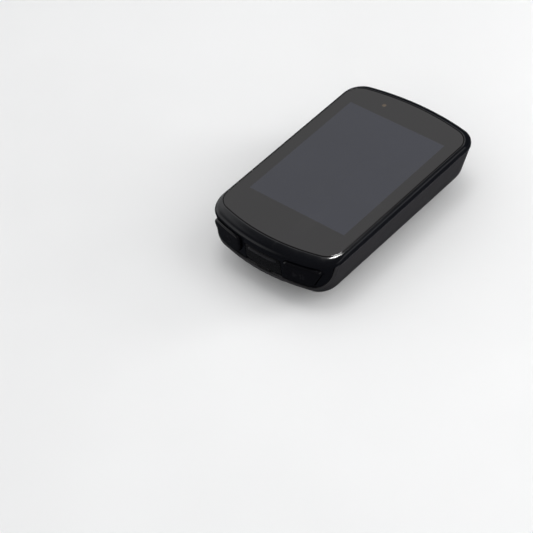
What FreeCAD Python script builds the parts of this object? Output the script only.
"""Handlebar cycling computer with a quarter-turn mount, as a parametric FreeCAD document.

Frame: the origin is on the mount axis at the outer end of the mount boss. +Z points out
of the display, +Y towards the top end and +X to the user's right. All sizes are in
millimetres. The driving dimensions live in the spreadsheet Dims.
"""
import FreeCAD, Part
import math
import os
import Sketcher
from FreeCAD import Placement, Rotation, Vector

# ==== driving dimensions ===========================================================
# alias, value, note. A name ending in _w is a half width, _r a radius, _corner a plan
# corner radius; _z, _z0 and _z1 are heights, and _top and _bottom are Y places.
DIMENSIONS = [
    # envelope
    ("z_glass", 20.0, "outer face of the cover glass"),
    ("z_part", 17.6, "parting plane between bezel and rear case"),
    ("z_back", 3.8, "flat of the rear case"),
    ("outer_w", 25.0, "half width at the parting plane"),
    ("outer_top", 41.0, "top end at the parting plane"),
    ("outer_bottom", -39.6, "lower end of the bezel at the parting plane"),
    ("outer_corner", 7.4, "corner radius at the parting plane"),
    ("top_r", 95.0, "plan radius of the top end"),
    ("bottom_r", 72.0, "plan radius of the lower end"),
    ("back_w", 22.5, "half width at the back plane, before the edge round"),
    ("back_top", 38.0, "top end at the back plane"),
    ("back_bottom", -43.6, "lower end at the back plane"),
    ("back_corner", 12.0, "corner radius at the back plane"),
    ("case_round", 8.4, "edge round of the rear case"),
    ("wall", 1.5, "case wall at the seal"),
    ("cavity_round", 6.9, "edge round of the case cavity"),
    ("z_floor", 5.3, "floor of the case cavity"),
    ("z_ledge", 15.5, "seal ledge in the case"),
    # cover glass
    ("glass_w", 23.75, "half width"),
    ("glass_top", 38.3, "top end"),
    ("glass_bottom", -35.8, "lower end"),
    ("glass_corner", 6.2, "corner radius"),
    ("glass_thick", 1.1, "thickness"),
    ("glass_edge", 0.3, "edge round"),
    ("glass_gap", 0.08, "gap round the glass"),
    ("tape_thick", 0.13, "gap taken by the adhesive"),
    ("tape_width", 1.7, "inner edge of the adhesive, in from the glass edge"),
    # bezel: outline at two heights above the parting plane, glass seat, tongue
    ("band_z", 19.25, "height of the middle outline"),
    ("band_w", 24.72), ("band_top", 40.25), ("band_bottom", -38.25), ("band_corner", 7.0),
    ("rim_w", 24.05), ("rim_top", 38.75), ("rim_bottom", -36.25), ("rim_corner", 6.5),
    ("z_seat", 18.75, "glass seat"),
    ("seat_width", 2.0, "width of the glass seat"),
    ("tongue_gap", 0.1, "gap between tongue and case wall"),
    ("tongue_thick", 1.1, "thickness of the tongue"),
    ("z_tongue", 16.35, "lower edge of the tongue"),
    # lower end panel of the bezel
    ("panel_w", 22.3, "half width at the parting plane"),
    ("panel_low_w", 20.2, "half width at the lower edge"),
    ("panel_z", 8.2, "lower edge"),
    ("panel_y", -35.0, "inner face"),
    ("panel_corner", 5.5, "round of the lower corners"),
    ("panel_gap", 0.15, "gap between panel and case"),
    # display stack
    ("display_y", 3.0, "centre"),
    ("display_w", 21.3, "half width"),
    ("display_h", 28.0, "half height"),
    ("touch_z0", 18.08), ("touch_z1", 18.88),
    ("lcd_z0", 16.65), ("lcd_z1", 18.05),
    ("light_z0", 15.25, "backlight"), ("light_z1", 16.6),
    # display frame
    ("frame_z0", 14.5), ("frame_z1", 15.2), ("frame_rim", 17.5, "top of the rim"),
    ("frame_w", 21.95), ("frame_top", 36.6), ("frame_bottom", -33.3),
    # main board
    ("pcb_z0", 13.6), ("pcb_z1", 14.4),
    ("pcb_w", 20.4), ("pcb_top", 35.6), ("pcb_bottom", -33.4),
    # battery
    ("cell_w", 18.6), ("cell_y0", -23.5), ("cell_y1", 24.6), ("cell_z0", 7.4), ("cell_z1", 11.7),
    # case screws
    ("screw_x_top", 13.0), ("screw_y_top", 33.6), ("screw_x_low", 19.0), ("screw_y_low", -28.6),
    ("screw_r", 0.98), ("head_r", 1.85), ("head_height", 1.25),
    ("screw_seat", 8.6, "bearing face of the heads"),
    ("screw_tip", 16.4, "tips"),
    ("boss_r", 2.2, "bosses in the bezel"),
    ("column_r", 2.75, "columns in the case"),
    # board screws
    ("board_x_top", 18.3), ("board_y_top", 32.8), ("board_x_low", 8.3), ("board_y_low", -30.4),
    ("board_screw_r", 0.78),
    # lower end buttons, as seen from the front of the panel
    ("button_x_in", 8.75, "side towards the port"),
    ("button_x_top", 20.8, "upper far corner"),
    ("button_x_low", 18.5, "lower far corner"),
    ("button_z_low", 10.0), ("button_z_top", 16.9),
    ("button_cut_x", 10.7, "cut corner"), ("button_cut_z", 12.6),
    ("button_gap", 0.12), ("button_proud", 0.5), ("button_corner", 1.4), ("button_edge", 0.45),
    ("flange_thick", 0.6),
    ("stem_r", 1.0), ("stem_end", -33.57, "inner end of the stem"),
    ("switch_x", 13.9), ("switch_z", 12.45, "height of the switches and the port"),
    # port cover
    ("cover_w", 7.2), ("cover_z0", 9.75), ("cover_z1", 15.5), ("cover_thick", 1.15),
    ("cover_gap", 0.15), ("hinge_y", -38.98), ("hinge_z", 9.1), ("knuckle_r", 0.5),
    # power button
    ("power_y", 8.0), ("power_z", 12.75), ("power_length", 11.0), ("power_height", 3.4),
    ("power_x", -24.95, "outer face"),
    ("power_pad_x", -21.5, "inner face of the pad in the case wall"),
    # buzzer at -X and pressure vent at +X
    ("port_x", 8.0), ("port_y", 26.6),
    # mount insert
    ("disc_r", 15.2), ("disc_thick", 1.2), ("mount_boss_r", 12.35),
    ("tab_r", 14.85, "tip radius of the bayonet tabs"),
    ("tab_w", 5.2, "half width of a tab"),
    ("tab_thick", 1.6),
    ("mount_screw", 6.3, "X and Y offset of the mount screws"),
]

HAIR = 0.01  # clearance that keeps touching pieces apart
SIDES = (1, -1)  # +X side, then -X side


class Size:
    """A number together with the spreadsheet expression it comes from."""

    def __init__(self, value, text=None):
        self.value = float(value)
        self.text = text or repr(float(value))

    @staticmethod
    def of(other):
        return other if isinstance(other, Size) else Size(other)

    def __add__(self, other):
        other = Size.of(other)
        return Size(self.value + other.value, "(%s + %s)" % (self.text, other.text))

    __radd__ = __add__

    def __sub__(self, other):
        other = Size.of(other)
        return Size(self.value - other.value, "(%s - %s)" % (self.text, other.text))

    def __rsub__(self, other):
        return Size.of(other) - self

    def __mul__(self, other):
        other = Size.of(other)
        return Size(self.value * other.value, "(%s * %s)" % (self.text, other.text))

    def __truediv__(self, other):
        other = Size.of(other)
        return Size(self.value / other.value, "(%s / %s)" % (self.text, other.text))

    def __neg__(self):
        return Size(-self.value, "(-1 * %s)" % self.text)


class Dims:
    """The driving dimensions as Sizes: Dims.wall stands for the cell with alias wall."""


doc = FreeCAD.newDocument("cycling_computer")
sheet = doc.addObject("Spreadsheet::Sheet", "Dims")
for row, (alias, value, *note) in enumerate(DIMENSIONS, 1):
    sheet.set("A%d" % row, alias)
    sheet.set("B%d" % row, str(value))
    sheet.setAlias("B%d" % row, alias)
    if note:
        sheet.set("C%d" % row, note[0])
    setattr(Dims, alias, Size(value, "Dims." + alias))
doc.recompute()


def mirrored(x, y):
    return [(x, y), (-x, y)]


# screw places; the first two of each are at the top end
CASE_SCREWS = (mirrored(Dims.screw_x_top, Dims.screw_y_top)
               + mirrored(Dims.screw_x_low, Dims.screw_y_low))
BOARD_SCREWS = (mirrored(Dims.board_x_top, Dims.board_y_top)
                + mirrored(Dims.board_x_low, Dims.board_y_low))
MOUNT_SCREWS = (mirrored(Dims.mount_screw, Dims.mount_screw)
                + mirrored(Dims.mount_screw, -Dims.mount_screw))


# ==== bodies and sketches ==========================================================
PIECES = []  # what is exported


def body(name):
    part = doc.addObject("PartDesign::Body", name)
    part.Label = name
    return part


def piece(name):
    """A body that is exported."""
    part = body(name)
    PIECES.append(part)
    return part


def compound(label, parts):
    """Several bodies exported as one piece."""
    group = doc.addObject("Part::Compound", label)
    group.Label = label
    group.Links = parts
    PIECES.append(group)


def origin_feature(part, role):
    return [f for f in part.Origin.OriginFeatures if f.Role == role][0]


def new_sketch(part, role, offset):
    offset = Size.of(offset)
    sketch = part.newObject("Sketcher::SketchObject", part.Name + "_sk")
    sketch.AttachmentSupport = [(origin_feature(part, role), "")]
    sketch.MapMode = "FlatFace"
    sketch.AttachmentOffset = Placement(Vector(0, 0, offset.value), Rotation())
    sketch.setExpression("AttachmentOffset.Base.z", offset.text)
    return sketch


def on_xy(part, z):
    """Local axes X and Y, normal +Z."""
    return new_sketch(part, "XY_Plane", z)


def on_xz(part, y):
    """Local axes X and Z, normal -Y."""
    return new_sketch(part, "XZ_Plane", -Size.of(y))


def on_yz(part, x):
    """Local axes Y and Z, normal +X."""
    return new_sketch(part, "YZ_Plane", x)


# ==== sketch shapes ================================================================
# Each shape function draws into the sketch and returns it.
def constrain(sketch, *args):
    return sketch.addConstraint(Sketcher.Constraint(*args))


def constrain_size(sketch, size, *args):
    """A dimensional constraint driven by the expression of size."""
    index = constrain(sketch, *args, size.value)
    sketch.setExpression("Constraints[%d]" % index, size.text)


def place(sketch, geo, point, x, y):
    constrain_size(sketch, x, "DistanceX", -1, 1, geo, point)
    constrain_size(sketch, y, "DistanceY", -1, 1, geo, point)


def close_loop(sketch, kind, first, count):
    """Join each element's end to the start of the next one."""
    for i in range(count):
        constrain(sketch, kind, first + i, 2, first + (i + 1) % count, 1)


def line(x0, y0, x1, y1):
    return Part.LineSegment(Vector(x0, y0, 0), Vector(x1, y1, 0))


def arc(x, y, radius, start, end):
    return Part.ArcOfCircle(Part.Circle(Vector(x, y, 0), Vector(0, 0, 1), radius), start, end)


def circle(sketch, x, y, radius):
    x, y, radius = Size.of(x), Size.of(y), Size.of(radius)
    ring = Part.Circle(Vector(x.value, y.value, 0), Vector(0, 0, 1), radius.value)
    geo = sketch.addGeometry(ring, False)
    constrain_size(sketch, radius, "Radius", geo)
    place(sketch, geo, 3, x, y)
    return sketch


def circles(sketch, spots, radius):
    for x, y in spots:
        circle(sketch, x, y, radius)
    return sketch


def polygon(sketch, points):
    points = [(Size.of(x), Size.of(y)) for x, y in points]
    count = len(points)
    lines = []
    for i, (x, y) in enumerate(points):
        next_x, next_y = points[(i + 1) % count]
        lines.append(line(x.value, y.value, next_x.value, next_y.value))
    first = sketch.addGeometry(lines, False)[0]
    close_loop(sketch, "Coincident", first, count)
    for i, (x, y) in enumerate(points):
        place(sketch, first + i, 1, x, y)
    return sketch


def rect(sketch, x0, x1, y0, y1, corner=None):
    """Rectangle, with rounded corners if a corner radius is given."""
    if corner is None:
        return polygon(sketch, [(x0, y0), (x1, y0), (x1, y1), (x0, y1)])
    x0, x1, y0, y1, corner = [Size.of(size) for size in (x0, x1, y0, y1, corner)]
    left, right, low, high, r = [size.value for size in (x0, x1, y0, y1, corner)]
    quarter = math.pi / 2
    first = sketch.addGeometry([
        line(right, low + r, right, high - r),
        arc(right - r, high - r, r, 0, quarter),
        line(right - r, high, left + r, high),
        arc(left + r, high - r, r, quarter, 2 * quarter),
        line(left, high - r, left, low + r),
        arc(left + r, low + r, r, 2 * quarter, 3 * quarter),
        line(left + r, low, right - r, low),
        arc(right - r, low + r, r, -quarter, 0),
    ], False)[0]
    close_loop(sketch, "Tangent", first, 8)
    constrain(sketch, "Vertical", first)
    constrain(sketch, "Vertical", first + 4)
    constrain(sketch, "Horizontal", first + 2)
    constrain(sketch, "Horizontal", first + 6)
    for i in (3, 5, 7):
        constrain(sketch, "Equal", first + 1, first + i)
    constrain_size(sketch, corner, "Radius", first + 1)
    constrain_size(sketch, x1, "DistanceX", -1, 1, first, 1)
    constrain_size(sketch, x0, "DistanceX", -1, 1, first + 4, 1)
    constrain_size(sketch, y1, "DistanceY", -1, 1, first + 2, 1)
    constrain_size(sketch, y0, "DistanceY", -1, 1, first + 6, 1)
    return sketch


def rect_about(sketch, x, y, half_x, half_y, corner=None):
    """Rectangle about a centre."""
    x, y = Size.of(x), Size.of(y)
    return rect(sketch, x - half_x, x + half_x, y - half_y, y + half_y, corner)


def rounded_polygon(sketch, points, radius):
    """Polygon with every corner rounded. The sharp corners are construction points
    that carry the sizes."""
    points = [(Size.of(x), Size.of(y)) for x, y in points]
    radius = Size.of(radius)
    sharp = [Vector(x.value, y.value, 0) for x, y in points]
    count = len(sharp)
    doubled_area = sum(sharp[i - 1].x * sharp[i].y - sharp[i].x * sharp[i - 1].y
                       for i in range(count))
    if doubled_area < 0:
        points, sharp = points[::-1], sharp[::-1]
    rounds = []  # start, end and centre of each corner arc
    for i, tip in enumerate(sharp):
        back = (sharp[i - 1] - tip).normalize()
        ahead = (sharp[(i + 1) % count] - tip).normalize()
        half = back.getAngle(ahead) / 2
        setback = radius.value / math.tan(half)
        centre = tip + (back + ahead).normalize() * (radius.value / math.sin(half))
        rounds.append((tip + back * setback, tip + ahead * setback, centre))
    geometry = []
    for i, (start, end, centre) in enumerate(rounds):
        angles = [math.atan2(p.y - centre.y, p.x - centre.x) for p in (start, end)]
        geometry.append(arc(centre.x, centre.y, radius.value, *angles))
        geometry.append(Part.LineSegment(end, rounds[(i + 1) % count][0]))
    first = sketch.addGeometry(geometry, False)[0]
    total = 2 * count
    close_loop(sketch, "Tangent", first, total)
    for i in range(1, count):
        constrain(sketch, "Equal", first, first + 2 * i)
    constrain_size(sketch, radius, "Radius", first)
    for i in range(count):
        corner = sketch.addGeometry(Part.Point(sharp[i]), True)
        place(sketch, corner, 1, *points[i])
        constrain(sketch, "PointOnObject", corner, 1, first + (2 * i - 1) % total)
        constrain(sketch, "PointOnObject", corner, 1, first + (2 * i + 1) % total)
    return sketch


def outline(sketch, half_width, top, bottom, corner, grow=0.0):
    """Plan outline offset outwards by grow: straight sides, bowed ends, rounded corners."""
    half_width, top, bottom, corner = half_width + grow, top + grow, bottom - grow, corner + grow
    top_r, bottom_r = Dims.top_r + grow, Dims.bottom_r + grow
    w, r = half_width.value, corner.value
    corner_x = w - r

    def end_places(end, radius, sign):
        """Centre Y of the end arc, centre Y of its corners, angle where they meet."""
        centre = end.value - sign * radius.value
        corner_y = centre + sign * math.sqrt((radius.value - r) ** 2 - corner_x * corner_x)
        return centre, corner_y, math.atan2(corner_y - centre, corner_x)

    top_centre, top_y, top_angle = end_places(top, top_r, 1)
    low_centre, low_y, low_angle = end_places(bottom, bottom_r, -1)
    pi = math.pi
    first = sketch.addGeometry([
        line(w, low_y, w, top_y),
        arc(corner_x, top_y, r, 0, top_angle),
        arc(0, top_centre, top_r.value, top_angle, pi - top_angle),
        arc(-corner_x, top_y, r, pi - top_angle, pi),
        line(-w, top_y, -w, low_y),
        arc(-corner_x, low_y, r, pi, pi - low_angle),
        arc(0, low_centre, bottom_r.value, -pi - low_angle, low_angle),
        arc(corner_x, low_y, r, low_angle, 0),
    ], False)[0]
    close_loop(sketch, "Tangent", first, 8)
    constrain(sketch, "Vertical", first)
    constrain(sketch, "Vertical", first + 4)
    constrain(sketch, "PointOnObject", first + 2, 3, -2)
    constrain(sketch, "PointOnObject", first + 6, 3, -2)
    constrain(sketch, "Equal", first + 1, first + 3)
    constrain(sketch, "Equal", first + 5, first + 7)
    constrain_size(sketch, corner, "Radius", first + 1)
    constrain_size(sketch, corner, "Radius", first + 7)
    constrain_size(sketch, top_r, "Radius", first + 2)
    constrain_size(sketch, bottom_r, "Radius", first + 6)
    constrain_size(sketch, half_width, "DistanceX", -1, 1, first, 1)
    constrain_size(sketch, half_width * 2, "DistanceX", first + 4, 1, first, 2)
    constrain_size(sketch, top - top_r, "DistanceY", -1, 1, first + 2, 3)
    constrain_size(sketch, bottom + bottom_r, "DistanceY", -1, 1, first + 6, 3)
    return sketch


def glass_outline(sketch, grow=0.0):
    return outline(sketch, Dims.glass_w, Dims.glass_top, Dims.glass_bottom,
                   Dims.glass_corner, grow)


def part_outline(sketch, grow=0.0):
    """The outer outline at the parting plane."""
    return outline(sketch, Dims.outer_w, Dims.outer_top, Dims.outer_bottom,
                   Dims.outer_corner, grow)


def end_region(sketch, half_width, line_y, grow=0.0):
    """Region between the lower end arc, offset outwards by grow, and the line at line_y."""
    half_width, line_y = Size.of(half_width), Size.of(line_y)
    centre_y, radius = Dims.outer_bottom + Dims.bottom_r, Dims.bottom_r + grow
    w, y, r = half_width.value, line_y.value, radius.value
    arc_y = centre_y.value - math.sqrt(r ** 2 - w ** 2)
    spread = math.asin(w / r)
    down = -math.pi / 2
    first = sketch.addGeometry([
        arc(0, centre_y.value, r, down - spread, down + spread),
        line(w, arc_y, w, y),
        line(w, y, -w, y),
        line(-w, y, -w, arc_y),
    ], False)[0]
    close_loop(sketch, "Coincident", first, 4)
    constrain(sketch, "PointOnObject", first, 3, -2)
    constrain_size(sketch, centre_y, "DistanceY", -1, 1, first, 3)
    constrain_size(sketch, radius, "Radius", first)
    constrain(sketch, "Vertical", first + 1)
    constrain(sketch, "Vertical", first + 3)
    constrain_size(sketch, half_width, "DistanceX", -1, 1, first + 1, 2)
    constrain_size(sketch, -half_width, "DistanceX", -1, 1, first + 3, 1)
    constrain_size(sketch, line_y, "DistanceY", -1, 1, first + 1, 2)
    constrain_size(sketch, line_y, "DistanceY", -1, 1, first + 3, 1)
    return sketch


def button_outline(sketch, side, grow=0.0):
    """Front view of a lower end button, grown by grow, on the +X or -X side."""
    grow = Size.of(grow)
    points = [(Dims.button_cut_x - grow / 2, Dims.button_z_low - grow),
              (Dims.button_x_low + grow, Dims.button_z_low - grow),
              (Dims.button_x_top + grow, Dims.button_z_top + grow),
              (Dims.button_x_in - grow, Dims.button_z_top + grow),
              (Dims.button_x_in - grow, Dims.button_cut_z - grow / 3)]
    return rounded_polygon(sketch, [(x * side, z) for x, z in points],
                           Dims.button_corner + grow)


def power_outline(sketch, grow, corner):
    """Side view of the power button, grown by grow."""
    return rect_about(sketch, Dims.power_y, Dims.power_z, Dims.power_length / 2 + grow,
                      Dims.power_height / 2 + grow, corner)


def receptacle_outline(sketch, grow, corner):
    """Section of the port shell, grown by grow."""
    return rect(sketch, -3.75 - grow, 3.75 + grow, Dims.switch_z - 1.3 - grow,
                Dims.switch_z + 1.14 + grow, corner)


def corner_notches(sketch, outer_x, bottom):
    """Notches at the lower corners that clear the case screw bosses."""
    inner_x, top = Dims.screw_x_low - 2.6, Dims.screw_y_low + 2.5
    rect(sketch, inner_x, outer_x, bottom, top)
    return rect(sketch, -outer_x, -inner_x, bottom, top)


# ==== features =====================================================================
def bind(feature, prop, size):
    size = Size.of(size)
    setattr(feature, prop, size.value)
    feature.setExpression(prop, size.text)


def prism(part, kind, sketch, length, reverse):
    feature = part.newObject("PartDesign::" + kind, part.Name + "_" + kind.lower())
    feature.Profile = sketch
    bind(feature, "Length", length)
    feature.Reversed = reverse
    return feature


def pad(part, sketch, length):
    """Add material along the sketch normal."""
    return prism(part, "Pad", sketch, length, False)


def pad_against(part, sketch, length):
    """Add material against the sketch normal."""
    return prism(part, "Pad", sketch, length, True)


def cut(part, sketch, depth):
    """Remove material against the sketch normal."""
    return prism(part, "Pocket", sketch, depth, False)


def cut_along(part, sketch, depth):
    """Remove material along the sketch normal."""
    return prism(part, "Pocket", sketch, depth, True)


def loft(part, *sections):
    feature = part.newObject("PartDesign::AdditiveLoft", part.Name + "_loft")
    feature.Profile = sections[0]
    feature.Sections = list(sections[1:])
    feature.Ruled = False


def fillet(part, radius, test, want=None):
    """Round the edges whose five sample points pass the test."""
    doc.recompute()
    base = part.Tip
    names = []
    for i, edge in enumerate(base.Shape.Edges, 1):
        start, end = edge.FirstParameter, edge.LastParameter
        if test([edge.valueAt(start + (end - start) * t) for t in (0.0, 0.25, 0.5, 0.75, 1.0)]):
            names.append("Edge%d" % i)
    if not names or (want and len(names) != want):
        raise RuntimeError("%s: edges found for the round: %d, wanted %s"
                           % (part.Label, len(names), want))
    feature = part.newObject("PartDesign::Fillet", part.Name + "_edge")
    feature.Base = (base, names)
    bind(feature, "Radius", radius)
    doc.recompute()


def in_plane(axis, *levels):
    """Edge test: the edge lies in one of the planes axis = level."""
    return lambda points: any(
        all(abs(getattr(p, axis) - level.value) < 1e-3 for p in points) for level in levels)


def along_y(**fixed):
    """Edge test: straight along Y, with x or z at one of the given levels."""
    def test(points):
        span = points[-1] - points[0]
        if span.Length < 1e-6 or abs(span.x) > 1e-5 or abs(span.z) > 1e-5:
            return False
        return all(any(abs(getattr(points[0], axis) - level.value) < 2e-2 for level in levels)
                   for axis, levels in fixed.items())

    return test


def block(part, x0, x1, y0, y1, z0, z1, corner=None):
    """A plate or block: one rectangle on XY, one pad."""
    pad(part, rect(on_xy(part, z0), x0, x1, y0, y1, corner), z1 - Size.of(z0))
    return part


# ==== cover glass ==================================================================
def cover_glass():
    part = piece("cover_glass")
    profile = glass_outline(on_xy(part, Dims.z_glass - Dims.glass_thick))
    pad(part, profile, Dims.glass_thick)
    fillet(part, Dims.glass_edge, in_plane("z", Dims.z_glass), want=8)


def glass_adhesive():
    part = piece("glass_adhesive")
    profile = on_xy(part, Dims.z_glass - Dims.glass_thick - Dims.tape_thick)
    glass_outline(profile, -0.15)
    glass_outline(profile, -Dims.tape_width)
    pad(part, profile, Dims.tape_thick - HAIR)


# ==== front bezel with the lower end panel =========================================
def front_bezel():
    part = piece("front_bezel")
    loft(part,
         part_outline(on_xy(part, Dims.z_part)),
         outline(on_xy(part, Dims.band_z), Dims.band_w, Dims.band_top, Dims.band_bottom,
                 Dims.band_corner),
         outline(on_xy(part, Dims.z_glass - 0.06), Dims.rim_w, Dims.rim_top, Dims.rim_bottom,
                 Dims.rim_corner))
    # end panel
    overlap = 0.2
    profile = end_region(on_xy(part, Dims.z_part + overlap), Dims.panel_w, Dims.panel_y)
    pad_against(part, profile, Dims.z_part - Dims.panel_z + overlap)
    # tongue that enters the case, above the seal
    tongue_inset = -Dims.wall - Dims.tongue_gap
    profile = on_xy(part, Dims.z_tongue)
    part_outline(profile, tongue_inset)
    part_outline(profile, tongue_inset - Dims.tongue_thick)
    pad(part, profile, Dims.z_part - Dims.z_tongue + overlap)
    # screw bosses
    boss_z = Dims.screw_seat + 4.1
    profile = circles(on_xy(part, boss_z), CASE_SCREWS, Dims.boss_r)
    pad(part, profile, Dims.z_part - boss_z + 0.3)
    # sloping sides and rounded lower corners of the end panel
    below, beyond = Dims.panel_z - 0.7, Dims.panel_w + 2
    for side in SIDES:
        wedge = [(Dims.panel_w, Dims.z_part), (Dims.panel_low_w, Dims.panel_z),
                 (Dims.panel_low_w, below), (beyond, below), (beyond, Dims.z_part)]
        profile = on_xz(part, Dims.panel_y + 0.3)
        polygon(profile, [(x * side, z) for x, z in wedge])
        cut_along(part, profile, 12)
    corners = along_y(x=(Dims.panel_low_w, -Dims.panel_low_w), z=(Dims.panel_z,))
    fillet(part, Dims.panel_corner, corners, want=2)
    # trim the end panel to the outline at the parting plane
    profile = part_outline(on_xy(part, Dims.z_part))
    rect(profile, -32, 32, -48, 48)
    cut(part, profile, 12)
    # glass seat and the window under it
    profile = glass_outline(on_xy(part, Dims.z_glass), Dims.glass_gap)
    cut(part, profile, Dims.z_glass - Dims.z_seat)
    profile = glass_outline(on_xy(part, Dims.z_seat), -Dims.seat_width)
    cut(part, profile, Dims.z_seat - Dims.z_part + 0.001)
    # pilot holes
    profile = circles(on_xy(part, boss_z), CASE_SCREWS, Dims.screw_r + 0.02)
    cut_along(part, profile, Dims.screw_tip - boss_z + 0.4)
    # button openings, with a rebate on the inner face for the seal
    inside = Dims.panel_y + 0.5
    for side in SIDES:
        cut_along(part, button_outline(on_xz(part, inside), side, Dims.button_gap), 8)
    for side in SIDES:
        profile = on_xz(part, Dims.panel_y - 0.5)
        cut(part, button_outline(profile, side, Dims.button_gap + 0.55), 2.4)
    # recess for the port cover, following the curve of the panel
    recess_below = 1.6
    profile = on_xy(part, Dims.cover_z0 - Dims.cover_gap - recess_below)
    end_region(profile, Dims.cover_w + Dims.cover_gap, Dims.outer_bottom - 3,
               -Dims.cover_thick - 0.1)
    cut_along(part, profile,
              Dims.cover_z1 - Dims.cover_z0 + Dims.cover_gap * 2 + recess_below)
    # slot for the anchored end of the cover strap
    profile = on_xy(part, Dims.panel_z - 0.2)
    rect(profile, -2.65, 2.65, Dims.hinge_y + 0.4, Dims.hinge_y + 1.55)
    cut_along(part, profile, 1.68)
    # port window
    profile = rect_about(on_xz(part, inside), 0, Dims.switch_z, 4.9, 2.2, 1.0)
    cut_along(part, profile, 6)
    # pocket on the inner face for the port gasket
    profile = rect_about(on_xz(part, Dims.panel_y - 0.9), 0, Dims.switch_z, 6.0, 3.0, 1.4)
    cut(part, profile, 1.5)


# ==== rear case ====================================================================
def case_cavity():
    """The hollow of the case below the ledge, as a body to cut away. What is cut from
    it is left standing in the case."""
    cavity = body("case_cavity")
    loft(cavity,
         outline(on_xy(cavity, Dims.z_ledge + HAIR), Dims.outer_w - 2.6, Dims.outer_top - 2.6,
                 Dims.outer_bottom + 2.3, Dims.outer_corner - 1.5),
         outline(on_xy(cavity, Dims.z_floor), Dims.back_w - 1.25, Dims.back_top - 1.3,
                 Dims.back_bottom + 2.0, Dims.back_corner - 1.4))
    fillet(cavity, Dims.cavity_round, in_plane("z", Dims.z_floor), want=8)
    base = Dims.z_floor - 1
    # screw columns
    profile = circles(on_xy(cavity, base), CASE_SCREWS, Dims.column_r)
    cut_along(cavity, profile, Dims.screw_seat + 4.0 - base)
    # rib behind the end panel
    cut_along(cavity, rect(on_xy(cavity, base), -18.5, 18.5, -34.3, -33.4), 9.1 - base)
    # pad above the mount insert
    cut_along(cavity, circle(on_xy(cavity, base), 0, 0, 13.6), 7.0 - base)
    # flat pad inside the -X wall for the power button
    profile = on_yz(cavity, Dims.power_pad_x)
    rect(profile, Dims.power_y - 7.6, Dims.power_y + 7.6, Dims.power_z - 3.1,
         Dims.power_z + 2.6, 1.2)
    cut(cavity, profile, 2.6)
    return cavity


def rear_case():
    part = piece("rear_case")
    loft(part,
         part_outline(on_xy(part, Dims.z_part), -0.02),
         outline(on_xy(part, Dims.z_back), Dims.back_w, Dims.back_top, Dims.back_bottom,
                 Dims.back_corner))
    fillet(part, Dims.case_round, in_plane("z", Dims.z_back), want=8)
    cavity = case_cavity()
    hollow = part.newObject("PartDesign::Boolean", "case_hollow")
    hollow.Type = "Cut"
    hollow.setObjects([cavity])
    # seat for the tongue and the seal
    profile = part_outline(on_xy(part, Dims.z_part + 0.1), -Dims.wall)
    cut(part, profile, Dims.z_part - Dims.z_ledge + 0.1)
    # notch that takes the end panel, its slopes carried on above the parting plane
    above = 9
    slope = (Dims.panel_w - Dims.panel_low_w) / (Dims.z_part - Dims.panel_z)
    low_half = Dims.panel_low_w + Dims.panel_gap
    high_half = Dims.panel_w + Dims.panel_gap + slope * above
    low_z, high_z = Dims.panel_z - Dims.panel_gap, Dims.z_part + above
    profile = on_xz(part, Dims.panel_y + 0.1)
    rounded_polygon(profile, [(-low_half, low_z), (low_half, low_z), (high_half, high_z),
                              (-high_half, high_z)], Dims.panel_corner + Dims.panel_gap)
    cut_along(part, profile, 12)
    # relief inside the end for the button flanges
    profile = rect(on_xz(part, -33.85), -21.5, 21.5, 9.62, Dims.z_part + 3, 1.2)
    cut_along(part, profile, 1.3)
    # recess for the mount insert
    profile = circle(on_xy(part, Dims.z_back - 0.5), 0, 0, Dims.disc_r + 0.06)
    cut_along(part, profile, Dims.disc_thick + 0.5 + 0.02)
    # counterbores and clearance holes for the case screws
    profile = circles(on_xy(part, 1), CASE_SCREWS, Dims.head_r + 0.25)
    cut_along(part, profile, Dims.screw_seat - 1)
    profile = circles(on_xy(part, Dims.screw_seat - 0.5), CASE_SCREWS, Dims.screw_r + 0.12)
    cut_along(part, profile, 6)
    # blind pilots for the mount screws
    cut_along(part, circles(on_xy(part, Dims.z_back), MOUNT_SCREWS, 0.92), 2.7)
    # power button opening, and the seat of its seal
    cut_along(part, power_outline(on_yz(part, Dims.power_x - 1), 0.15, 1.84), 6)
    cut_along(part, power_outline(on_yz(part, Dims.power_pad_x - 0.8), 0.85, 2.5), 1.0)
    # sound holes, and the port of the pressure sensor
    profile = on_xy(part, Dims.z_back - 0.5)
    for i in (-1, 0, 1):
        circle(profile, -Dims.port_x + 1.7 * i, Dims.port_y, 0.42)
    circle(profile, Dims.port_x, Dims.port_y, 0.55)
    cut_along(part, profile, 3.0)


# ==== seals ========================================================================
def case_seal():
    part = piece("case_seal")
    profile = on_xy(part, Dims.z_ledge + 0.02)
    part_outline(profile, -Dims.wall - 0.05)
    part_outline(profile, -Dims.wall - Dims.tongue_gap - Dims.tongue_thick + 0.05)
    pad(part, profile, Dims.z_tongue - Dims.z_ledge - 0.04)
    # opening at the end panel
    cut(part, rect(on_xy(part, Dims.z_part), -22.4, 22.4, -46, -33.4), 4)


def end_panel_seal():
    part = piece("end_panel_seal")
    profile = rect(on_xz(part, Dims.panel_y + 0.03), -17.0, 17.0, 8.35, 9.0)
    pad_against(part, profile, 0.64)


# ==== display stack ================================================================
def display_rect(sketch, grow_x, grow_y, corner):
    """The backlight outline grown in x and y."""
    return rect_about(sketch, 0, Dims.display_y, Dims.display_w + grow_x,
                      Dims.display_h + grow_y, corner)


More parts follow.
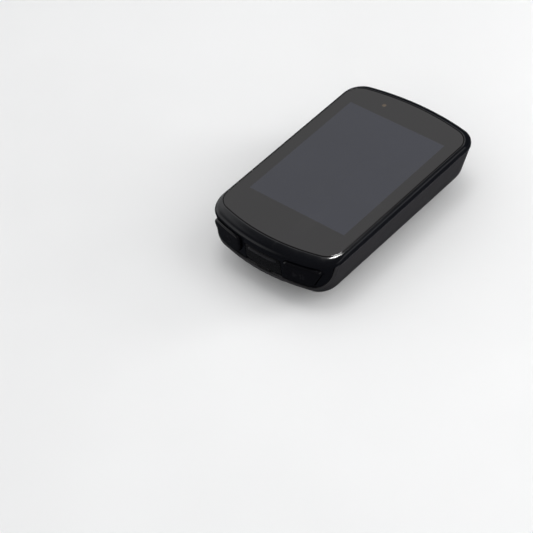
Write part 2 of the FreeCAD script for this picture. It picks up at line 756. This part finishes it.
def display_stack():
    # name, growth in x and y, z0, z1, corner radius
    for name, grow_x, grow_y, z0, z1, corner in (
            ("touch_sensor", -0.3, -0.4, Dims.touch_z0, Dims.touch_z1, 0.5),
            ("lcd_panel", -0.1, -0.2, Dims.lcd_z0, Dims.lcd_z1, 0.4),
            ("backlight", 0, 0, Dims.light_z0, Dims.light_z1, 0.6)):
        part = piece(name)
        pad(part, display_rect(on_xy(part, z0), grow_x, grow_y, corner), z1 - z0)
    # light guide recess in the back of the backlight tray
    cut_along(part, display_rect(on_xy(part, Dims.light_z0), -1.6, -1.6, 1.0), 0.15)


def display_frame():
    part = piece("display_frame")
    base, top = Dims.frame_z0 - 1, Dims.frame_z1 - 0.1
    through_rim = 4.2
    block(part, -Dims.frame_w, Dims.frame_w, Dims.frame_bottom, Dims.frame_top,
          Dims.frame_z0, Dims.frame_z1, 6.2)
    # rim round the backlight
    profile = display_rect(on_xy(part, top), 0.45, 0.75, 1.0)
    display_rect(profile, 0.08, 0.1, 0.6)
    pad(part, profile, Dims.frame_rim - top)
    # board screw bosses and their pilots
    pad(part, circles(on_xy(part, top), BOARD_SCREWS, 1.6), 2.0)
    cut_along(part, circles(on_xy(part, base), BOARD_SCREWS, Dims.board_screw_r + 0.02), 2.9)
    # notch at the power button
    profile = on_xy(part, base)
    rect(profile, -24, -21.25, Dims.power_y - 8.0, Dims.power_y + 8.0)
    cut_along(part, profile, 2.15)
    # clearance round the case screw bosses
    profile = circles(on_xy(part, base), CASE_SCREWS[:2], Dims.boss_r + 0.3)
    cut_along(part, profile, through_rim)
    cut_along(part, corner_notches(on_xy(part, base), Dims.frame_w + 1, -35.2), through_rim)
    # slots for the flexes
    profile = on_xy(part, base)
    rect(profile, -6.5, 6.5, -29.7, -26.9, 0.6)
    rect(profile, -4.5, 4.5, 32.0, 35.2, 0.6)
    rect(profile, -10.8, -7.2, 32.1, 33.6, 0.6)
    cut_along(part, profile, through_rim)
    # two columns of three windows
    profile = on_xy(part, base)
    for row in (-1, 0, 1):
        for side in SIDES:
            rect_about(profile, 10.0 * side, Dims.display_y + 17.0 * row, 6.5, 5.8, 1.5)
    cut_along(part, profile, 4)


# ==== main board ===================================================================
UNDER_BOARD = Dims.pcb_z0 - HAIR  # where parts hang from the lower side


def main_board():
    part = piece("main_board")
    block(part, -Dims.pcb_w, Dims.pcb_w, Dims.pcb_bottom, Dims.pcb_top,
          Dims.pcb_z0, Dims.pcb_z1, 3.2)
    profile = on_xy(part, Dims.pcb_z0 - 1)
    circles(profile, CASE_SCREWS[:2], Dims.boss_r + 0.35)
    circles(profile, BOARD_SCREWS, Dims.board_screw_r + 0.1)
    cut_along(part, profile, 3)
    cut_along(part, corner_notches(on_xy(part, Dims.pcb_z0 - 1), Size(23), -35), 3)


def board_components():
    """Small parts on the lower side of the board."""
    # x0, x1, y0, y1, height
    chips = [(-16.5 + 2.1 * i, -15.5 + 2.1 * i, -27.6, -25.6, 0.6) for i in range(6)]
    chips += [(9.4 + 2.0 * i, 10.4 + 2.0 * i, 27.0, 28.8, 0.5) for i in range(5)]
    chips += [(14.8, 17.9, 20.4, 23.2, 0.9),
              (-15.8, -12.6, 27.2, 30.4, 0.8),
              (10.4, 13.2, -28.3, -25.3, 1.0)]
    compound("board_components", [
        block(body("chip_%02d" % i), x0, x1, y0, y1, UNDER_BOARD - height, UNDER_BOARD)
        for i, (x0, x1, y0, y1, height) in enumerate(chips)])


def shield(name, x0, x1, y0, y1, height):
    """Drawn shield can: five walls, open towards the board."""
    sheet_thick = 0.2
    part = piece(name)
    block(part, x0, x1, y0, y1, UNDER_BOARD - height, UNDER_BOARD, 0.5)
    profile = rect(on_xy(part, UNDER_BOARD), x0 + sheet_thick, x1 - sheet_thick,
                   y0 + sheet_thick, y1 - sheet_thick, 0.3)
    cut(part, profile, height - sheet_thick)


def plain_blocks():
    """Pieces that are a single block."""
    pcb_z0, pcb_z1, cell_y1 = Dims.pcb_z0, Dims.pcb_z1, Dims.cell_y1
    # name, x0, x1, y0, y1, z0, z1 and, where the corners are rounded, their radius
    for name, *sizes in (
            ("processor", -12.5, -0.5, -17.0, -5.0, pcb_z0 - 1.11, pcb_z0 - 0.02),
            ("radio_module", 6.0, 15.0, 5.0, 15.0, pcb_z0 - 1.05, pcb_z0 - 0.02),
            ("memory_chip", 5.0, 15.0, -18.0, -8.0, pcb_z0 - 1.0, UNDER_BOARD),
            ("bluetooth_antenna", -19.4, -17.8, -8.0, 0.0, pcb_z1, pcb_z1 + 0.09),
            ("light_sensor", -10.0, -8.0, 32.1, 33.7, 17.75, 18.6, 0.25),
            ("pressure_sensor", 6.6, 9.4, 22.0, 24.4, 12.6, UNDER_BOARD, 0.3),
            ("battery_protection_board", -14, 14, cell_y1 - 1.58, cell_y1 - 0.3, 8.4, 10.9),
            ("battery_tape", -10.5, 10.5, -17, 17, 7.02, Dims.cell_z0 - HAIR, 1.0),
            ("battery_plug", 3.4, 7.6, 28.36, 30.2, 11.7, 12.95),
            ("battery_socket", 3.0, 8.0, 30.22, 32.4, 11.6, UNDER_BOARD)):
        block(piece(name), *sizes)


def gps_antenna():
    """Bent strip on a carrier, at the top end above the frame."""
    carrier = piece("gps_antenna_carrier")
    pad(carrier, rect(on_xy(carrier, Dims.frame_z1 + 0.02), -6.8, 9.6, 34.0, 36.4, 0.8), 1.9)
    strip = piece("gps_antenna")
    # x, y round the C-shaped strip
    points = [(-6.2, 34.3), (9.0, 34.3), (9.0, 36.1), (2.0, 36.1), (2.0, 35.6), (8.4, 35.6),
              (8.4, 34.8), (-5.6, 34.8), (-5.6, 35.6), (0.8, 35.6), (0.8, 36.1), (-6.2, 36.1)]
    pad(strip, polygon(on_xy(strip, Dims.frame_z1 + 1.93), points), 0.12)


# name, x0, x1, and the y, z stations along one face of the bent strip
FLEXES = [
    ("sensor_flex", -10.2, -7.9,
     [(32.0, 17.62), (33.0, 17.62), (33.3, 17.4), (33.36, 17.0), (33.36, 15.0),
      (33.3, 14.7), (33.0, 14.58), (32.3, 14.56)]),
    ("touch_flex", -3.6, 3.6,
     [(30.72, 18.4), (32.2, 18.36), (32.55, 18.1), (32.62, 17.7), (32.62, 15.2),
      (32.7, 14.8), (33.1, 14.58), (34.6, 14.56)]),
    ("lcd_flex", -6.2, 6.2,
     [(-24.95, 17.72), (-26.6, 17.72), (-27.3, 17.5), (-27.7, 16.9), (-27.8, 16.3),
      (-27.8, 15.2), (-27.9, 14.8), (-28.4, 14.58), (-29.3, 14.56)]),
]


def flex(name, x0, x1, points):
    """A flexible circuit: a bent strip profile in the YZ plane, padded across X."""
    thick = 0.12
    other_face = []
    for i, (y, z) in enumerate(points):
        before, after = points[max(i - 1, 0)], points[min(i + 1, len(points) - 1)]
        along, up = after[0] - before[0], after[1] - before[1]
        length = math.hypot(along, up)
        other_face.append((y + up / length * thick, z - along / length * thick))
    part = piece(name)
    pad(part, polygon(on_yz(part, x0), points + other_face[::-1]), x1 - x0)


# ==== battery ======================================================================
def battery_cell():
    part = piece("battery_cell")
    block(part, -Dims.cell_w, Dims.cell_w, Dims.cell_y0, Dims.cell_y1 - 1.6,
          Dims.cell_z0, Dims.cell_z1, 1.2)
    fillet(part, 0.8, in_plane("z", Dims.cell_z1, Dims.cell_z0))


def battery_leads():
    """Three wires from the protection board, bent up (+Z) to the plug."""
    start_z, bend_r = 9.7, 1.3
    bend_z, end_z = start_z + bend_r, start_z + 2 * bend_r
    start = Dims.cell_y1 - 0.28
    start_y = start.value
    bend_y = start_y + 0.8
    second_y = bend_y + 2 * bend_r
    wires = []
    for i in range(3):
        wire = body("wire_%d" % i)
        x = 4.4 + 1.1 * i
        section = circle(on_xz(wire, start), x, start_z, 0.33)
        spine = on_yz(wire, x)
        first = spine.addGeometry([
            line(start_y, start_z, bend_y, start_z),
            arc(bend_y, bend_z, bend_r, -math.pi / 2, 0),
            arc(second_y, bend_z, bend_r, math.pi / 2, math.pi),
            line(second_y, end_z, second_y + 0.6, end_z),
        ], False)[0]
        constrain(spine, "Tangent", first, 2, first + 1, 1)
        constrain(spine, "Tangent", first + 1, 2, first + 2, 2)
        constrain(spine, "Tangent", first + 2, 1, first + 3, 1)
        constrain(spine, "Equal", first + 1, first + 2)
        constrain(spine, "Block", first)
        constrain(spine, "Block", first + 3)
        pipe = wire.newObject("PartDesign::AdditivePipe", "wire_pipe")
        pipe.Profile = section
        pipe.Spine = (spine, ["Edge1", "Edge2", "Edge3", "Edge4"])
        wires.append(wire)
    compound("battery_leads", wires)


# ==== sound and pressure ===========================================================
def sound_and_pressure():
    buzzer_spot = (-Dims.port_x, Dims.port_y)
    part = piece("buzzer")
    pad(part, circle(on_xy(part, 5.42), *buzzer_spot, 4.0), 0.25)
    pad(part, circle(on_xy(part, 5.6), *buzzer_spot, 2.8), 0.35)
    part = piece("buzzer_gasket")
    profile = circle(on_xy(part, Dims.z_floor + HAIR), *buzzer_spot, 3.8)
    pad(part, circle(profile, *buzzer_spot, 2.9), 0.1)
    part = piece("vent_membrane")
    pad(part, circle(on_xy(part, Dims.z_floor + HAIR), Dims.port_x, Dims.port_y, 2.2), 0.15)


# ==== lower end: buttons, switches, port ===========================================
def end_button(name, side):
    part = piece(name)
    flange_y = Dims.panel_y + 0.03
    pad(part, button_outline(on_xz(part, flange_y), side), 6)
    # outer face, following the curve of the panel
    profile = end_region(on_xy(part, Dims.switch_z - 6), 23, -48, Dims.button_proud)
    cut_along(part, profile, 12)
    radius = (Dims.bottom_r + Dims.button_proud).value
    centre_y = (Dims.outer_bottom + Dims.bottom_r).value
    fillet(part, Dims.button_edge, lambda points: all(
        abs(math.hypot(p.x, p.y - centre_y) - radius) < 2e-3 for p in points))
    # flange, and the stem that reaches the switch
    profile = button_outline(on_xz(part, flange_y), side, 0.3)
    pad_against(part, profile, Dims.flange_thick)
    stem_y = Dims.panel_y + 0.5
    profile = circle(on_xz(part, stem_y), Dims.switch_x * side, Dims.switch_z, Dims.stem_r)
    pad_against(part, profile, Dims.stem_end - stem_y)


def end_seal(name, side):
    part = piece(name)
    profile = on_xz(part, Dims.panel_y - 0.48)
    pad_against(part, button_outline(profile, side, Dims.button_gap + 0.53), 0.46)
    cut_along(part, button_outline(on_xz(part, Dims.panel_y + 0.5), side, 0.03), 3)


# slot and plunger of the side-acting switches
SLOT_HALF_WIDTH, SLOT_HALF_HEIGHT, SLOT_DEPTH = 0.85, 0.6, 1.2
PLUNGER_HALF_WIDTH, PLUNGER_LENGTH = 0.8, 1.0
SLOT_START = 0.5  # how far outside the switch the slot cut starts


def end_switch(name, side):
    """Switch with its plunger pointing to -Y."""
    x, z = Dims.switch_x * side, Dims.switch_z
    face_y, depth, width, height = -33.1, 3.4, 5.0, 2.28
    part = piece(name)
    profile = on_xy(part, z - height / 2)
    pad(part, rect(profile, x - width / 2, x + width / 2, face_y, face_y + depth), height)
    profile = on_xz(part, face_y - SLOT_START)
    rect_about(profile, x, z, SLOT_HALF_WIDTH, SLOT_HALF_HEIGHT)
    cut(part, profile, SLOT_START + SLOT_DEPTH)
    part = piece(name + "_plunger")
    profile = rect_about(on_xz(part, -32.55), x, z, PLUNGER_HALF_WIDTH, 0.55)
    pad(part, profile, PLUNGER_LENGTH)


def usb_receptacle():
    """Drawn shell, open at its -Y end, with a tongue inside."""
    part = piece("usb_receptacle")
    pad_against(part, receptacle_outline(on_xz(part, -36.9), 0.0, 0.7), 5.2)
    cut(part, receptacle_outline(on_xz(part, -37.0), -0.3, 0.5), 4.6)
    profile = on_xz(part, -32.2)
    pad(part, rect(profile, -1.7, 1.7, Dims.switch_z - 0.3, Dims.switch_z + 0.25), 4.0)


def usb_gasket():
    part = piece("usb_gasket")
    profile = rect_about(on_xz(part, Dims.panel_y - 0.88), 0, Dims.switch_z, 5.95, 2.95, 1.35)
    pad_against(part, receptacle_outline(profile, 0.03, 0.73), 0.86)


def usb_cover():
    part = piece("usb_cover")
    hinge_y, hinge_z = Dims.hinge_y, Dims.hinge_z
    strap_half = 2.6
    # curved flap
    back_y = Dims.outer_bottom + Dims.cover_thick
    profile = end_region(on_xy(part, Dims.cover_z0), Dims.cover_w, back_y, 0.05)
    pad(part, profile, Dims.cover_z1 - Dims.cover_z0)
    fillet(part, 0.9, along_y(z=(Dims.cover_z0, Dims.cover_z1)), want=4)
    # plug rib on the inner face
    profile = on_xz(part, back_y - 0.2)
    rect(profile, -4.3, 4.3, Dims.switch_z - 1.6, Dims.switch_z + 1.5, 0.8)
    rect(profile, -3.5, 3.5, Dims.switch_z - 0.9, Dims.switch_z + 0.8, 0.4)
    pad_against(part, profile, 0.95)
    # pull lip: y from the panel end, z from the top of the cover
    lip_half = 5.6
    lip = [(0.3, -1.35), (-0.42, -1.15), (-0.5, -0.75), (-0.1, -0.45), (0.4, -0.4)]
    profile = on_yz(part, -lip_half)
    polygon(profile, [(Dims.outer_bottom + y, Dims.cover_z1 + z) for y, z in lip])
    pad(part, profile, 2 * lip_half)
    # knuckle and the strap that joins it to the flap
    profile = circle(on_yz(part, -strap_half), hinge_y, hinge_z, Dims.knuckle_r)
    pad(part, profile, 2 * strap_half)
    profile = on_yz(part, -strap_half)
    rect(profile, hinge_y - 0.28, hinge_y + 0.28, hinge_z, Dims.cover_z0 + 0.3)
    pad(part, profile, 2 * strap_half)
    # anchored end
    anchor = piece("usb_cover_anchor")
    profile = rect(on_yz(anchor, -strap_half), hinge_y + 0.72, hinge_y + 1.5, 8.25, 9.62)
    pad(anchor, profile, 2 * strap_half)


# ==== power button =================================================================
def power_button():
    part = piece("power_button")
    flange_x = Dims.power_pad_x + 0.03
    pad(part, power_outline(on_yz(part, Dims.power_x), 0.0, 1.69), flange_x - Dims.power_x)
    fillet(part, 0.45, in_plane("x", Dims.power_x))
    # flange, cut short at the top
    half_y, half_z = Dims.power_length / 2 + 0.6, Dims.power_height / 2
    profile = rect(on_yz(part, flange_x), Dims.power_y - half_y, Dims.power_y + half_y,
                   Dims.power_z - half_z - 0.6, Dims.power_z + half_z + 0.02, 1.6)
    pad(part, profile, 0.5)
    # stem
    stem_x = Dims.power_pad_x + 0.3
    profile = rect_about(on_yz(part, stem_x), Dims.power_y, Dims.power_z, 0.9, 0.5)
    pad(part, profile, -20.42 - stem_x)


def power_button_seal():
    part = piece("power_button_seal")
    profile = power_outline(on_yz(part, Dims.power_pad_x - 0.78), 0.83, 2.48)
    pad(part, power_outline(profile, 0.03, 1.72), 0.76)


def power_switch():
    """Switch with its plunger pointing to -X."""
    y, z = Dims.power_y, Dims.power_z
    face_x, depth, width, height = -19.95, 3.0, 5.6, 1.68
    part = piece("power_switch")
    profile = on_xy(part, z - height / 2)
    pad(part, rect(profile, face_x, face_x + depth, y - width / 2, y + width / 2), height)
    profile = on_yz(part, face_x - SLOT_START)
    rect_about(profile, y, z, SLOT_HALF_WIDTH, SLOT_HALF_HEIGHT)
    cut_along(part, profile, SLOT_START + SLOT_DEPTH)
    part = piece("power_switch_plunger")
    profile = rect_about(on_yz(part, -20.4), y, z, PLUNGER_HALF_WIDTH, 0.5)
    pad(part, profile, PLUNGER_LENGTH)


# ==== quarter-turn mount insert ====================================================
def tab_outline(sketch, half_width, radius):
    """Double-ended tab: the strip |x| < half_width of a disc."""
    w, r = half_width.value, radius.value
    spread = math.asin(w / r)
    y = r * math.cos(spread)
    up = math.pi / 2
    first = sketch.addGeometry([
        line(w, -y, w, y),
        arc(0, 0, r, up - spread, up + spread),
        line(-w, y, -w, -y),
        arc(0, 0, r, -up - spread, -up + spread),
    ], False)[0]
    close_loop(sketch, "Coincident", first, 4)
    constrain(sketch, "Vertical", first)
    constrain(sketch, "Vertical", first + 2)
    constrain(sketch, "Equal", first + 1, first + 3)
    constrain(sketch, "Coincident", first + 1, 3, -1, 1)
    constrain(sketch, "Coincident", first + 3, 3, -1, 1)
    constrain_size(sketch, radius, "Radius", first + 1)
    constrain_size(sketch, half_width, "DistanceX", -1, 1, first, 1)
    constrain_size(sketch, -half_width, "DistanceX", -1, 1, first + 2, 1)
    return sketch


def mount_insert():
    part = piece("mount_insert")
    pad(part, circle(on_xy(part, Dims.z_back), 0, 0, Dims.disc_r), Dims.disc_thick)
    pad(part, circle(on_xy(part, 0), 0, 0, Dims.mount_boss_r), Dims.z_back + 0.2)
    pad(part, tab_outline(on_xy(part, 0), Dims.tab_w, Dims.tab_r), Dims.tab_thick)
    # blind hole in the middle of the boss, and the stepped screw holes
    cut_along(part, circle(on_xy(part, 0), 0, 0, 3.6), 2.2)
    cut_along(part, circles(on_xy(part, -0.5), MOUNT_SCREWS, 2.0), 2.9)
    cut_along(part, circles(on_xy(part, 1), MOUNT_SCREWS, 1.1), 6)
    # detent dimples in the +Z faces of the tabs
    cut_along(part, circles(on_xy(part, 0.9), [(0, 13.9), (0, -13.9)], 0.55), 1.2)
    # outer rim of the boss and tabs
    outer_end = in_plane("z", Size(0))
    fillet(part, 0.35, lambda points: outer_end(points) and all(
        math.hypot(p.x, p.y) > 11.5 for p in points))


# ==== fasteners ====================================================================
def screw(name, x, y, seat, tip, shank_r, head_r, head_height, drive_r):
    """Pan head screw, head towards -Z, with a six-lobe drive. seat is the height of the
    bearing face."""
    part = body(name)
    head_z = seat - head_height
    profile = polygon(on_xz(part, 0), [
        (0, head_z), (head_r - 0.35, head_z), (head_r, head_z + 0.4), (head_r, seat),
        (shank_r, seat), (shank_r, tip - 0.3), (shank_r - 0.3, tip), (0, tip)])
    turned = part.newObject("PartDesign::Revolution", name + "_rev")
    turned.Profile = profile
    turned.ReferenceAxis = (profile, ["V_Axis"])
    turned.Angle = 360
    # drive: a round core, then one lobe repeated about the axis
    below = 0.2
    depth = below + head_height * 0.65
    cut_along(part, circle(on_xy(part, head_z - below), 0, 0, drive_r), depth)
    lobe = cut_along(
        part, circle(on_xy(part, head_z - below), drive_r, 0, drive_r * 0.32), depth)
    doc.recompute()
    lobes = part.newObject("PartDesign::PolarPattern", name + "_lobes")
    lobes.Originals = [lobe]
    lobes.Axis = (origin_feature(part, "Z_Axis"), [""])
    lobes.Angle = 360
    lobes.Occurrences = 6
    part.Tip = lobes
    part.Placement = Placement(Vector(x.value, y.value, 0), Rotation())
    part.setExpression("Placement.Base.x", x.text)
    part.setExpression("Placement.Base.y", y.text)
    return part


def screws(label, spots, **sizes):
    compound(label, [screw("%s_%d" % (label, i), x, y, **sizes)
                     for i, (x, y) in enumerate(spots)])


# ==== build ========================================================================
cover_glass()
glass_adhesive()
front_bezel()
rear_case()
case_seal()
end_panel_seal()
display_stack()
display_frame()
main_board()
board_components()
shield("processor_shield", -15.0, 2.0, -20.0, -2.0, height=1.5)
shield("radio_shield", 4.0, 17.0, 2.0, 18.0, height=1.4)
plain_blocks()
gps_antenna()
for flex_row in FLEXES:
    flex(*flex_row)
battery_cell()
battery_leads()
sound_and_pressure()
for key, key_side in (("start", 1), ("lap", -1)):
    end_button(key + "_button", key_side)
    end_seal(key + "_button_seal", key_side)
    end_switch(key + "_switch", key_side)
usb_receptacle()
usb_gasket()
usb_cover()
power_button()
power_button_seal()
power_switch()
mount_insert()
screws("case_screws", CASE_SCREWS, seat=Dims.screw_seat, tip=Dims.screw_tip,
       shank_r=Dims.screw_r, head_r=Dims.head_r, head_height=Dims.head_height,
       drive_r=Size(0.62))
screws("mount_screws", MOUNT_SCREWS, seat=Size(2.4), tip=Size(6.3), shank_r=Size(0.9),
       head_r=Size(1.75), head_height=Size(1.1), drive_r=Size(0.58))
screws("board_screws", BOARD_SCREWS, seat=Dims.pcb_z0, tip=Size(16.2),
       shank_r=Dims.board_screw_r, head_r=Size(1.35), head_height=Size(0.8),
       drive_r=Size(0.44))

# ==== checks and export ============================================================
doc.recompute()
for item in doc.Objects:
    if any(word in item.State for word in ("Invalid", "Error")):
        raise RuntimeError("%s (%s) is in state %s" % (item.Name, item.Label, item.State))
    if item.TypeId in ("PartDesign::Pad", "PartDesign::Pocket") and item.BaseFeature:
        change = item.Shape.Volume - item.BaseFeature.Shape.Volume
        if (change if item.TypeId.endswith("Pad") else -change) < 1e-4:
            raise RuntimeError("%s changed nothing" % item.Name)

os.makedirs("parts", exist_ok=True)
for item in PIECES:
    shape = item.Shape
    if shape.isNull() or not shape.isValid() or not shape.Solids:
        raise RuntimeError("%s has no valid solid" % item.Label)
    if any(solid.Volume <= 0 for solid in shape.Solids):
        raise RuntimeError("%s has a solid without volume" % item.Label)
    shape.exportStep(os.path.join("parts", item.Label + ".step"))
